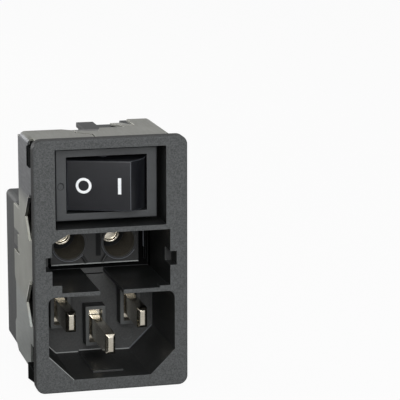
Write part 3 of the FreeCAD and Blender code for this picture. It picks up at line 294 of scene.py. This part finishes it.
# Sheet and plated metals. Each band of painted light or shade is a tone, its share, and the spans in
# millimetres over which it comes in.
def paintedShading(tree, place, paintedShades):
    split = addNode(tree, "SeparateXYZ", (place,)).outputs
    side = addNode(tree, "Math", (split["X"],), operation="ABSOLUTE").outputs[0]
    across = {"side": side, "depth": split["Y"], "height": split["Z"]}
    layers = []
    for tone, share, spans in paintedShades:
        masks = [addNode(tree, "MapRange", (across[way], start * mm, end * mm)).outputs[0]
                 for way, (start, end) in spans.items()]
        layers.append((overlap(tree, share, *masks), linearColour(tone)))
    return layers


def sheetMetal(name, look):
    material, shader, place, tones = newSurface(name, look, metallic=1.0)
    tree = material.node_tree
    drawn = addNode(tree, "Mapping", {"Vector": place, "Scale": look["stretch"]}).outputs[0]
    lines, lineMask = drawPattern(tree, drawn, look, "line")
    stains, stainMask = drawPattern(tree, place, look, "stain")
    colour = layTones(
        tree, tones["dark"], (lineMask, tones["light"]),
        (overlap(tree, stainMask, look["stainShare"]), tones["stain"]),
        *paintedShading(tree, place, look.get("paintedShades", ())))
    rough = addNode(tree, "MapRange", (lines, *wearSpan, look["smoothest"], look["roughest"])).outputs[0]
    finishSurface(tree, shader, look, tones, colour, rough, lines, stains)
    return material


shieldLook = {
    "dark": "#80817a", "light": "#93948d", "lineSize": 0.5, "stretch": (1.0, 0.12, 1.0), "deep": 0.01,
    "bump": 0.12, "stain": "#67675f", "stainSize": 9.0, "stainShare": 0.5,
    "smoothest": 0.42, "roughest": 0.52, "edge": 0.12, "rub": 0.9, "rubbed": "#d5d3c8",
    "paintedShades": (
        ("#46484c", 0.95, {"side": (13.4, 13.8), "height": (9.8, 12.4)}),  # sides above the filter block: painted shade
        ("#5a5a54", 0.6, {"height": (22.8, 23.0)}),  # roof: painted shade
        ("#858a8a", 0.6, {"height": (-8.2, -10.2)}),  # low on the sides: painted light
        ("#363836", 1.0, {"side": (13.56, 13.52), "depth": (20.3, 20.5), "height": (2.2, 2.1)}),  # straps: painted shadow where they step in
    ),
}
# Cold-rolled steel, tin plated: warm grey with faint rolling lines, bright sheared edges and bands of painted
# light and shade.
rolledSteel = sheetMetal("rolled_tinned_steel", shieldLook)

pinLook = {
    "dark": "#d2cbba", "light": "#ece6d9", "lineSize": 0.25, "stretch": (1.0, 0.15, 1.0), "deep": 0.006,
    "bump": 0.12, "stain": "#b3a88f", "stainSize": 3.0, "stainShare": 0.3,
    "smoothest": 0.1, "roughest": 0.18, "edge": 0.12, "rub": 0.7, "rubbed": "#fbf8ee",
}
# Nickel-plated brass, stamped and coined: bright with a warm cast and fine draw lines.
platedBrass = sheetMetal("nickel_plated_brass", pinLook)

tabLook = dict(pinLook, dark="#c9c3b4", light="#e0dccf", smoothest=0.36, roughest=0.48, edge=0.15)
# Nickel-plated brass, stamped and tumbled: a satin face that takes light from all round.
tumbledBrass = sheetMetal("tumbled_nickel_plated_brass", tabLook)

springLook = {
    "dark": "#9c7b3e", "light": "#c5a057", "lineSize": 0.25, "stretch": (0.15, 1.0, 1.0), "deep": 0.006,
    "bump": 0.12, "stain": "#7c5c2c", "stainSize": 2.5, "stainShare": 0.4,
    "smoothest": 0.25, "roughest": 0.38, "edge": 0.06, "rub": 0.6, "rubbed": "#ecd191",
}
# Phosphor bronze strip, rolled: a dull gold that darkens with age.
bronzeStrip = sheetMetal("phosphor_bronze_strip", springLook)

copperLook = {
    "dark": "#a05a34", "light": "#c9794a", "lineSize": 0.4, "stretch": (1.0, 1.0, 1.0), "deep": 0.02,
    "bump": 0.3, "stain": "#7d4223", "stainSize": 1.5, "stainShare": 0.4,
    "smoothest": 0.3, "roughest": 0.42, "edge": 0.08, "rub": 0.5, "rubbed": "#eeae80",
}
# Copper, cut or enamelled: orange-brown, a little uneven.
cutCopper = sheetMetal("cut_copper", copperLook)
print("metals ready")

# Parts inside the filter block, and the label.
boardLook = dict(caseLook, dark="#2f5b3a", light="#3b6b45", cloudDark="#2a5234", cloudLight="#437449",
                 rubbed="#8fa67f", grainSize=0.6, cloudSize=3.0)
# Epoxy-glass laminate with a green mask: the weave shows as a faint mottle.
glassLaminate = mouldedPlastic("masked_glass_laminate", boardLook)

ferriteLook = dict(caseLook, dark="#1f2122", light="#2c2e30", cloudDark="#1d1f20", cloudLight="#333638",
                   rubbed="#55595c", grainSize=0.4)
# Sintered ferrite with a thin varnish: black, slightly gritty.
sinteredFerrite = mouldedPlastic("sintered_ferrite", ferriteLook)

filmLook = dict(rockerLook, dark="#b59a2c", light="#c7ab37", cloudDark="#ad9228", cloudLight="#cfb44a",
                rubbed="#e4d27c")
# Resin-potted box in yellow polyester: glossy with soft corners.
pottedBox = mouldedPlastic("potted_yellow_polyester", filmLook)

discLook = dict(rockerLook, dark="#2a568f", light="#3465a5", cloudDark="#264e84", cloudLight="#3d70b3",
                rubbed="#7fa3cf", grainSize=0.5, bump=0.4)
# Epoxy-dipped ceramic: blue with an orange-peel skin.
dippedCeramic = mouldedPlastic("dipped_blue_ceramic", discLook)

resistorLook = dict(rockerLook, dark="#b39a77", light="#c8b08b", cloudDark="#ab916d", cloudLight="#d0b994",
                    rubbed="#e6d7ba", grainSize=0.5)
# Lacquered ceramic rod: beige and slightly lumpy.
lacqueredRod = mouldedPlastic("lacquered_ceramic_rod", resistorLook)

labelLook = dict(rockerLook, dark="#e9eaec", light="#f3f4f5", cloudDark="#e6e7ea", cloudLight="#f6f6f7",
                 rubbed="#ffffff", rub=0.2, grainSize=0.5, deep=0.004, cloudSize=8.0,
                 smoothest=0.35, roughest=0.45)
# Polyester label film: white satin with an almost flat surface.
labelFilm = mouldedPlastic("white_polyester_film", labelLook)

inkLook = dict(caseLook, dark="#17181a", light="#232527", cloudDark="#151618", cloudLight="#2b2d30",
               rub=0.0, edge=0.01, grainSize=0.25, bump=0.1)
# Thermal-transfer ink: black, slightly broken up.
printedInk = mouldedPlastic("thermal_transfer_ink", inkLook)

markLook = dict(rockerLook, dark="#e2e6e8", light="#f4f6f7", cloudDark="#dde2e5", cloudLight="#f7f8f8",
                rub=0.0, edge=0.01, grainSize=0.3, smoothest=0.4, roughest=0.5)
# Pad-printed white ink: matt white with faintly uneven cover.
padPrintedWhite = mouldedPlastic("pad_printed_white_ink", markLook)
print("inner parts' materials ready")

# The frame's own nodes: what each is finished with, and how far the edges in view are rounded.
finishes = {
    "front_housing": glassFilledPolyamide, "shield": rolledSteel,
    "filter_case": mouldedPolyester, "column_lid": mouldedPolyester,
    "switch_frame": mattPolyamide, "switch_base": mouldedPolyester, "rocker": satinPolycarbonate,
    "plunger_line": mattPolyamide, "plunger_neutral": mattPolyamide,
    "contact_blade_line": bronzeStrip, "contact_blade_neutral": bronzeStrip,
    "blade_cradle_line": platedBrass, "blade_cradle_neutral": platedBrass,
    "load_tab_line": tumbledBrass, "load_tab_neutral": tumbledBrass,
    "line_pin": platedBrass, "neutral_pin": platedBrass, "earth_pin": platedBrass,
    "fuse_cup_line": platedBrass, "fuse_cup_neutral": platedBrass,
    "fuse_leaf_line": bronzeStrip, "fuse_leaf_neutral": bronzeStrip,
    "earth_tab": tumbledBrass, "filter_board": glassLaminate,
    "choke_core": sinteredFerrite, "choke_winding_line": cutCopper, "choke_winding_neutral": cutCopper,
    "x_capacitor": pottedBox, "y_capacitor_line": dippedCeramic, "y_capacitor_neutral": dippedCeramic,
    "bleed_resistor": lacqueredRod, "label": labelFilm,
}
edgeWidths = {  # millimetres
    "front_housing": 0.1, "shield": 0.05, "filter_case": 0.12, "column_lid": 0.12,
    "switch_frame": 0.1, "switch_base": 0.08, "rocker": 0.08,
    "load_tab_line": 0.1, "load_tab_neutral": 0.1, "earth_tab": 0.1,
    "line_pin": 0.12, "neutral_pin": 0.12, "earth_pin": 0.12,
    "fuse_cup_line": 0.05, "fuse_cup_neutral": 0.05,
}
edgeCuts = {"weld": 0.001, "flatAngle": 0.5, "sharpAngle": 30, "segments": 2}  # millimetres and degrees


# The weld and the flattening make clean faces, so that the bevel runs along real edges only.
def softenEdges(node, width):
    weld = node.modifiers.new("weld", "WELD")
    weld.merge_threshold = edgeCuts["weld"] * mm
    flat = node.modifiers.new("flat", "DECIMATE")
    flat.decimate_type = "DISSOLVE"
    flat.angle_limit = math.radians(edgeCuts["flatAngle"])
    bevel = node.modifiers.new("edges", "BEVEL")
    bevel.width = width * mm
    bevel.segments = edgeCuts["segments"]
    bevel.limit_method = "ANGLE"
    bevel.angle_limit = math.radians(edgeCuts["sharpAngle"])
    bevel.use_clamp_overlap = True


for nodeName, finish in finishes.items():
    nodes[nodeName].data.materials.clear()
    nodes[nodeName].data.materials.append(finish)
for nodeName, width in edgeWidths.items():
    softenEdges(nodes[nodeName], width)
print("frame nodes dressed")


# Shared by every added piece: all places are in millimetres, and the mesh is in metres.
def plate(made, low, high):
    corners = [(x, y, z) for x in (low[0], high[0]) for y in (low[1], high[1]) for z in (low[2], high[2])]
    points = [made.verts.new(Vector(corner) * mm) for corner in corners]
    for face in ((0, 1, 3, 2), (4, 6, 7, 5), (0, 4, 5, 1), (2, 3, 7, 6), (0, 2, 6, 4), (1, 5, 7, 3)):
        made.faces.new([points[corner] for corner in face])


def meshPiece(name, mesh, material, body):
    piece = bpy.data.objects.new(name, mesh)
    bpy.context.scene.collection.objects.link(piece)
    mesh.materials.append(material)
    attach(piece, body)


def builtPiece(name, made, material, body, place=None):
    bmesh.ops.recalc_face_normals(made, faces=made.faces)
    if place:
        made.transform(place)
    mesh = bpy.data.meshes.new(name)
    made.to_mesh(mesh)
    made.free()
    meshPiece(name, mesh, material, body)


def bead(name, points, radius, material, body):
    curve = bpy.data.curves.new(name, "CURVE")
    curve.dimensions = "3D"
    spline = curve.splines.new("POLY")
    spline.points.add(len(points) - 1)
    for point, place in zip(spline.points, points):
        point.co = (*(Vector(place) * mm), 1.0)
    curve.bevel_depth = radius * mm
    curve.bevel_resolution = 2
    curve.use_fill_caps = True
    holder = bpy.data.objects.new(name, curve)
    mesh = bpy.data.meshes.new_from_object(holder)
    bpy.data.objects.remove(holder)
    meshPiece(name, mesh, material, body)


# Points of an arc in the plane that faces the panel, from one angle in degrees to another.
def arcPoints(middle, radius, start, end, steps):
    turns = [math.radians(start + (end - start) * step / steps) for step in range(steps + 1)]
    return [Vector(middle) + radius * Vector((math.cos(turn), 0.0, math.sin(turn))) for turn in turns]


# Marks on the rocker: a ring over its pressed side and a bar over its raised side.
markSizes = {
    "hinge": (0.0, 5.15, 14.95), "tilt": -19.2, "face": -5.6, "proud": 0.02, "sunk": 0.01,
    "ringSide": 2.92, "ringOuter": 1.5, "ringInner": 1.0, "ringSteps": 64,
    "barSide": 3.92, "barWide": 0.62, "barTall": 3.1,
    "edgeSide": 6.0, "edgeReach": 4.5, "edgeRadius": 0.06,
}
rockerPlace = (Matrix.Translation(Vector(markSizes["hinge"]) * mm)
               @ Matrix.Rotation(math.radians(markSizes["tilt"]), 4, "Z"))
markFront = markSizes["face"] - markSizes["proud"]
markBack = markSizes["face"] + markSizes["sunk"]


def offMark():
    made = bmesh.new()
    steps = markSizes["ringSteps"]
    rings = []
    for radius, depth in ((markSizes["ringOuter"], markBack), (markSizes["ringOuter"], markFront),
                          (markSizes["ringInner"], markFront), (markSizes["ringInner"], markBack)):
        points = arcPoints((-markSizes["ringSide"], depth, 0.0), radius, 0, 360, steps)[:steps]
        rings.append([made.verts.new(point * mm) for point in points])
    for first, second in zip(rings, rings[1:] + rings[:1]):
        for step in range(steps):
            after = (step + 1) % steps
            made.faces.new((first[step], first[after], second[after], second[step]))
    return made


def onMark():
    made = bmesh.new()
    side, halfWide, halfTall = markSizes["barSide"], markSizes["barWide"] / 2, markSizes["barTall"] / 2
    plate(made, (side - halfWide, markFront, -halfTall), (side + halfWide, markBack, halfTall))
    return made


builtPiece("off_mark", offMark(), padPrintedWhite, "rocker", rockerPlace)
builtPiece("on_mark", onMark(), padPrintedWhite, "rocker", rockerPlace)
print("rocker marks ready")


# Print on the rear label: a plain circuit of lines, bars, coils and contacts.
printSizes = {
    "skin": 39.58, "proud": 0.012, "sunk": 0.005, "line": 0.16, "bold": 0.62,
    "upper": -1.15, "lower": -5.05, "earth": -8.55, "left": 11.0, "right": -5.6,
    "flagTo": 10.1, "flagWide": 0.372, "barFrom": 8.3, "barTo": 5.2,
    "coilFrom": 4.7, "coilTo": 1.2, "coilTurns": 4, "turnSteps": 6,
    "armFrom": -1.1, "armTo": -4.0, "armRise": 1.0, "contact": -4.4, "leadFrom": -4.75,
    "ringOuter": 0.32, "ringInner": 0.18, "dot": 0.3, "dotSide": 10.7, "circleSteps": 20,
    "platesAt": ((9.4, "upper", "lower"), (0.3, "upper", "lower"), (0.3, "lower", "earth")),
    "plateHalf": 0.6, "plateWide": 0.22, "plateRise": 0.25, "leadGap": 0.3,
    "rules": (3.6, -12.4), "ruleFrom": -7.0, "ruleTo": 11.6,
}


def labelPrint():
    made = bmesh.new()
    near, far = printSizes["skin"] - printSizes["sunk"], printSizes["skin"] + printSizes["proud"]

    def stroke(x1, z1, x2, z2, wide=printSizes["line"]):
        along = Vector((x2 - x1, 0, z2 - z1))
        side = Vector((-along.z, 0, along.x)).normalized() * wide / 2
        start, end = Vector((x1, 0, z1)), Vector((x2, 0, z2))
        outline = (start + side, end + side, end - side, start - side)
        low, high = ([made.verts.new((point + Vector((0, depth, 0))) * mm) for point in outline]
                     for depth in (near, far))
        made.faces.new(low)
        made.faces.new(high)
        for k in range(4):
            made.faces.new((low[k], low[(k + 1) % 4], high[(k + 1) % 4], high[k]))

    def arc(x, z, radius, turn, steps, wide=printSizes["line"]):
        points = arcPoints((x, 0, z), radius, 0, turn, steps)
        for first, second in zip(points, points[1:]):
            stroke(first.x, first.z, second.x, second.z, wide)

    def circle(x, z, outer, inner=0.0):
        arc(x, z, (outer + inner) / 2, 360, printSizes["circleSteps"], outer - inner)

    left, right, earth = printSizes["left"], printSizes["right"], printSizes["earth"]
    ring = printSizes["ringOuter"], printSizes["ringInner"]
    reach = (printSizes["coilFrom"] - printSizes["coilTo"]) / printSizes["coilTurns"]
    for z in (printSizes["upper"], printSizes["lower"]):  # the two lines with their bar, coil and switch
        stroke(left, z, printSizes["coilFrom"], z)
        stroke(left, z, printSizes["flagTo"], z, printSizes["flagWide"])
        stroke(printSizes["barFrom"], z, printSizes["barTo"], z, printSizes["bold"])
        for turn in range(printSizes["coilTurns"]):
            arc(printSizes["coilFrom"] - reach * (turn + 0.5), z, reach / 2, 180, printSizes["turnSteps"])
        stroke(printSizes["coilTo"], z, printSizes["armFrom"], z)
        stroke(printSizes["armFrom"], z, printSizes["armTo"], z + printSizes["armRise"])
        circle(printSizes["contact"], z, *ring)
        stroke(printSizes["leadFrom"], z, right, z)
    stroke(left, earth, right, earth)
    circle(printSizes["dotSide"], earth, printSizes["dot"])
    circle(right, earth, *ring)
    for x, high, low in printSizes["platesAt"]:  # the capacitors between the lines
        high, low = printSizes[high], printSizes[low]
        middle = (high + low) / 2
        stroke(x, high, x, middle + printSizes["leadGap"])
        stroke(x, middle - printSizes["leadGap"], x, low)
        for z in (middle + printSizes["plateRise"], middle - printSizes["plateRise"]):
            stroke(x - printSizes["plateHalf"], z, x + printSizes["plateHalf"], z, printSizes["plateWide"])
    for z in printSizes["rules"]:
        stroke(printSizes["ruleFrom"], z, printSizes["ruleTo"], z)
    return made


builtPiece("label_print", labelPrint(), printedInk, "module")
print("label print ready")

# Thin lines in the fuse bay and the inlet: each line's finish, its radius and its points.
# The pale lines are painted highlights, bright where light catches an edge and dimmer where less falls.
paintedLines = {
    "floor_highlight_line": (paintedHighlightLine, 0.12, [(-12.1, 16.66, -17.35), (-7.45, 16.66, -21.88), (7.45, 16.66, -21.88)]),
    # Painted shadow: the dark line along the slot's step.
    "slot_shadow_line": (paintedShadowLine, 0.12, [(-2.2, 16.66, -6.05), (2.2, 16.66, -6.05)]),
    "lip_highlight_line": (paintedHighlightLine, 0.12, [(-8.5, 14.5, -3.45), (8.95, 14.5, -3.45)]),
    "edge_highlight_line": (paintedDimHighlightLine, 0.12, [(10.3, 15.9, -0.9), (10.3, 15.9, 3.1)]),
    "turn_highlight_line": (paintedDimHighlightLine, 0.12, [(7.45, 16.66, -21.88), (12.1, 16.66, -17.35)]),
    "pad_highlight_line": (paintedHighlightLine, 0.12, [(-2.8, 16.64, -21.62), (2.8, 16.64, -21.62)]),
    "rim_highlight_line": (paintedHighlightLine, 0.06, [(-12.25, -2.48, -17.2), (-7.5, -2.48, -21.95)]),
}
for paintedLineName, (finish, radius, points) in paintedLines.items():
    bead(paintedLineName, points, radius, finish, "module")

# Painted highlights, pale lines round the bores' mouths: each one's middle, and the angles between which it
# shows.
collars = {
    "left_collar_highlight": ((-5.0, 14.0, 0.75), 200, 320),
    "right_collar_highlight": ((5.0, 14.0, 0.75), 165, 330),
}
collarSizes = {"radius": 3.5, "line": 0.07, "steps": 24}
for collarName, (middle, start, end) in collars.items():
    points = arcPoints(middle, collarSizes["radius"], start, end, collarSizes["steps"])
    bead(collarName, points, collarSizes["line"], paintedDimHighlightLine, "module")

# Ribs of the housing: two round ones at the bores, and flat ones by their corners.
boreRibs = {
    "left_bore_rib": [(-2.45, 13.95, -1.75), (-1.6, 13.95, -3.1)],
    "right_bore_rib": [(2.45, 13.95, -1.75), (1.6, 13.95, -3.1)],
}
boreRibRadius = 0.28
flatRibs = {
    "side_rib": ((10.3, 15.9, -3.4), (10.75, 16.75, 3.2)),
    "key_rib": ((-4.8, 16.1, -12.9), (-4.3, 16.75, -10.6)),
    "bay_lip": ((-8.55, 14.5, -3.5), (8.95, 15.2, -3.0)),
}
for ribName, points in boreRibs.items():
    bead(ribName, points, boreRibRadius, glassFilledPolyamide, "module")
for ribName, corners in flatRibs.items():
    ribMesh = bmesh.new()
    plate(ribMesh, *corners)
    builtPiece(ribName, ribMesh, glassFilledPolyamide, "module")

# Small metal parts in the terminal bay: two copper heels, a rivet and two pins.
heels = {
    "upper_heel": ((-8.95, 17.78, 19.0), (-8.15, 18.25, 19.75)),
    "lower_heel": ((-8.95, 17.78, 10.15), (-8.15, 18.25, 10.9)),
}
bayPins = {  # finish, radius, points and slot
    "rivet": (bronzeStrip, 0.5, [(-10.9, 17.4, 11.9), (-10.9, 18.05, 11.9)], "spring_brass"),
    "upper_pin": (platedBrass, 0.35, [(-8.1, 17.6, 16.5), (-8.7, 20.4, 17.4)], "contact_metal"),
    "lower_pin": (platedBrass, 0.35, [(-1.8, 17.6, 12.5), (-1.8, 20.4, 12.5)], "contact_metal"),
}
for heelName, corners in heels.items():
    heelMesh = bmesh.new()
    plate(heelMesh, *corners)
    builtPiece(heelName, heelMesh, cutCopper, "module")
for pinName, (finish, radius, points, slot) in bayPins.items():
    bead(pinName, points, radius, finish, "module")

# The ejector's mark on the bezel, and a painted highlight: the pale line along the rocker's raised edge.
ejector = {"middle": (-8.85, 1.49, 14.8), "radius": 0.62, "line": 0.05, "steps": 28}
bead("ejector_mark", arcPoints(ejector["middle"], ejector["radius"], 0, 360, ejector["steps"]),
     ejector["line"], printedInk, "module")
edgePoints = [rockerPlace @ (Vector((markSizes["edgeSide"], markSizes["face"], end)) * mm) / mm
              for end in (-markSizes["edgeReach"], markSizes["edgeReach"])]
bead("rocker_edge_highlight", edgePoints, markSizes["edgeRadius"], paintedDimHighlightLine, "rocker")
print("small details ready")


# Floor, light and camera.
studio = {
    "floorSize": 4000.0, "floor": "#f4f4f4", "floorGlow": 0.94, "worldFill": 0.3, "card": "#151515",
    "eye": (-80.4, -382.16, 92.27), "aim": (17.858, 0.0, 11.214), "lens": 189.64, "sensor": 36,
    "clipStart": 10.0,
}
white = linearColour("#ffffff")
softboxes = {  # place and size in millimetres, power in watts
    "front_softbox": ((-60, -640, 210), (280, 280), 2.9),
    "key_softbox": ((-200, -380, 440), (260, 260), 0.5),
    "top_softbox": ((40, 60, 520), (320, 320), 0.12),
    "rim_softbox": ((-300, 560, 110), (220, 220), 1.05),
}
# Dark cards keep the gloss from showing white where the photo is dark: place and size in millimetres, the
# turn about y in degrees, and whether only gloss sees the card.
darkCards = {
    "left_card": ((-330, -120, 90), (300, 420), 90, False),
    "right_card": ((330, -60, 90), (300, 520), 90, False),
    "floor_card": ((-120, -60, -24.1), (200, 190), 0, True),
}


# The camera sees a nearly white floor, and the object's shadow lies on it.
def makeFloor():
    bpy.ops.mesh.primitive_plane_add(size=studio["floorSize"] * mm, location=(0, 0, cadBounds[0].z))
    floor = bpy.context.object
    floor.name = "floor"
    material = bpy.data.materials.new("pale_studio_floor")
    material.use_nodes = True
    tree = material.node_tree
    tree.nodes.clear()
    paint = addNode(tree, "BsdfDiffuse", {"Color": linearColour(studio["floor"])}).outputs[0]
    glow = addNode(tree, "Emission", {"Color": white, "Strength": 1.0}).outputs[0]
    share = overlap(tree, addNode(tree, "LightPath").outputs["Is Camera Ray"], studio["floorGlow"])
    mix = addNode(tree, "MixShader", (share, paint, glow)).outputs[0]
    addNode(tree, "OutputMaterial", {"Surface": mix})
    floor.data.materials.append(material)


# The background is white for the camera and in reflections, and lights the object only a little.
def makeWorld():
    world = bpy.data.worlds.new("studio")
    bpy.context.scene.world = world
    world.use_nodes = True
    tree = world.node_tree
    tree.nodes.clear()
    fill = addNode(tree, "Background", {"Color": white, "Strength": studio["worldFill"]}).outputs[0]
    seen = addNode(tree, "Background", {"Color": white, "Strength": 1.0}).outputs[0]
    rays = addNode(tree, "LightPath").outputs
    shown = rays["Is Camera Ray"]
    for kind in ("Is Transmission Ray", "Is Glossy Ray"):
        shown = addNode(tree, "Math", (shown, rays[kind]), operation="MAXIMUM").outputs[0]
    mix = addNode(tree, "MixShader", (shown, fill, seen)).outputs[0]
    addNode(tree, "OutputWorld", {"Surface": mix})


# Puts a lamp or the camera in its place, pointed at the target.
def aimedObject(name, data, place, target):
    holder = bpy.data.objects.new(name, data)
    holder.location = Vector(place) * mm
    holder.rotation_euler = (Vector(target) * mm - holder.location).to_track_quat("-Z", "Y").to_euler()
    bpy.context.scene.collection.objects.link(holder)
    return holder


def softbox(name, place, size, power):
    lamp = bpy.data.lights.new(name, "AREA")
    lamp.shape = "RECTANGLE"
    lamp.size, lamp.size_y = size[0] * mm, size[1] * mm
    lamp.energy = power
    aimedObject(name, lamp, place, (0, 0, 0))


def darkCard(name, place, size, turn, glossOnly):
    bpy.ops.mesh.primitive_plane_add(size=1, location=Vector(place) * mm, rotation=(0, math.radians(turn), 0))
    card = bpy.context.object
    card.name = name
    card.scale = (size[0] * mm, size[1] * mm, 1)
    card.visible_camera = False
    if glossOnly:
        card.visible_diffuse = False
        card.visible_shadow = False
    cloth = bpy.data.materials.new(name + "_cloth")
    cloth.use_nodes = True
    shader = cloth.node_tree.nodes["Principled BSDF"]
    shader.inputs["Base Color"].default_value = linearColour(studio["card"])
    shader.inputs["Roughness"].default_value = 1.0
    card.data.materials.append(cloth)


makeFloor()
makeWorld()
for lampName, (place, size, power) in softboxes.items():
    softbox(lampName, place, size, power)
for cardName, (place, size, turn, glossOnly) in darkCards.items():
    darkCard(cardName, place, size, turn, glossOnly)

camera = bpy.data.cameras.new("camera")
camera.sensor_width = studio["sensor"]
camera.lens = studio["lens"]
camera.clip_start = studio["clipStart"] * mm
bpy.context.scene.camera = aimedObject("camera", camera, studio["eye"], studio["aim"])
bpy.context.scene.view_settings.view_transform = "Standard"
print("studio ready")
